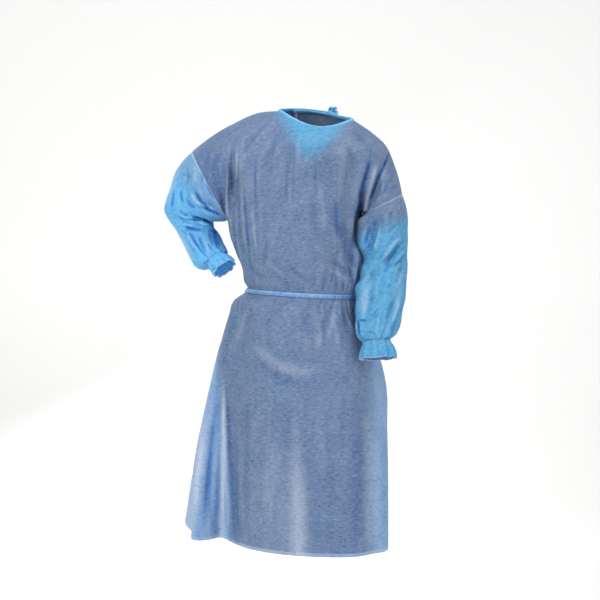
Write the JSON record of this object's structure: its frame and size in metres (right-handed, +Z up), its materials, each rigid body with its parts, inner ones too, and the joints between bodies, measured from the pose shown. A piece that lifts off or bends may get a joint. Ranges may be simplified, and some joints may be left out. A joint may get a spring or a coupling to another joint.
{
  "type": "isolation gown",
  "caption": "Long-sleeved cloth gown open and tied behind, held hollow as worn with one hand at the waist; gathered cuffs, bound round neck and a narrow waist belt.",
  "frame": {"origin": "middle of the neck opening, level with the mean of its two shoulder points, where the wearer's neck and shoulders hold the gown", "axes": "+Z up, the front faces -Y, +X to the right of someone facing the front"},
  "size_m": [0.6018, 0.3669, 1.0804],
  "materials": {
    "panel": "matt spun nonwoven, light blue over shadow",
    "sleeve": "matt spun nonwoven, light blue",
    "trim": "folded nonwoven tape, light blue"
  },
  "bodies": {
    "root": {"front_panel": "panel", "back_panel_left": "panel", "back_panel_right": "panel", "sleeve_left": "sleeve", "sleeve_right": "sleeve", "cuff_left": "sleeve", "cuff_right": "sleeve", "neck_binding": "trim", "waist_belt": "trim", "waist_knot": "trim", "waist_tie_left": "trim", "waist_tie_right": "trim", "neck_knot": "trim", "neck_tie_left": "trim", "neck_tie_right": "trim"}
  },
  "joints": []
}
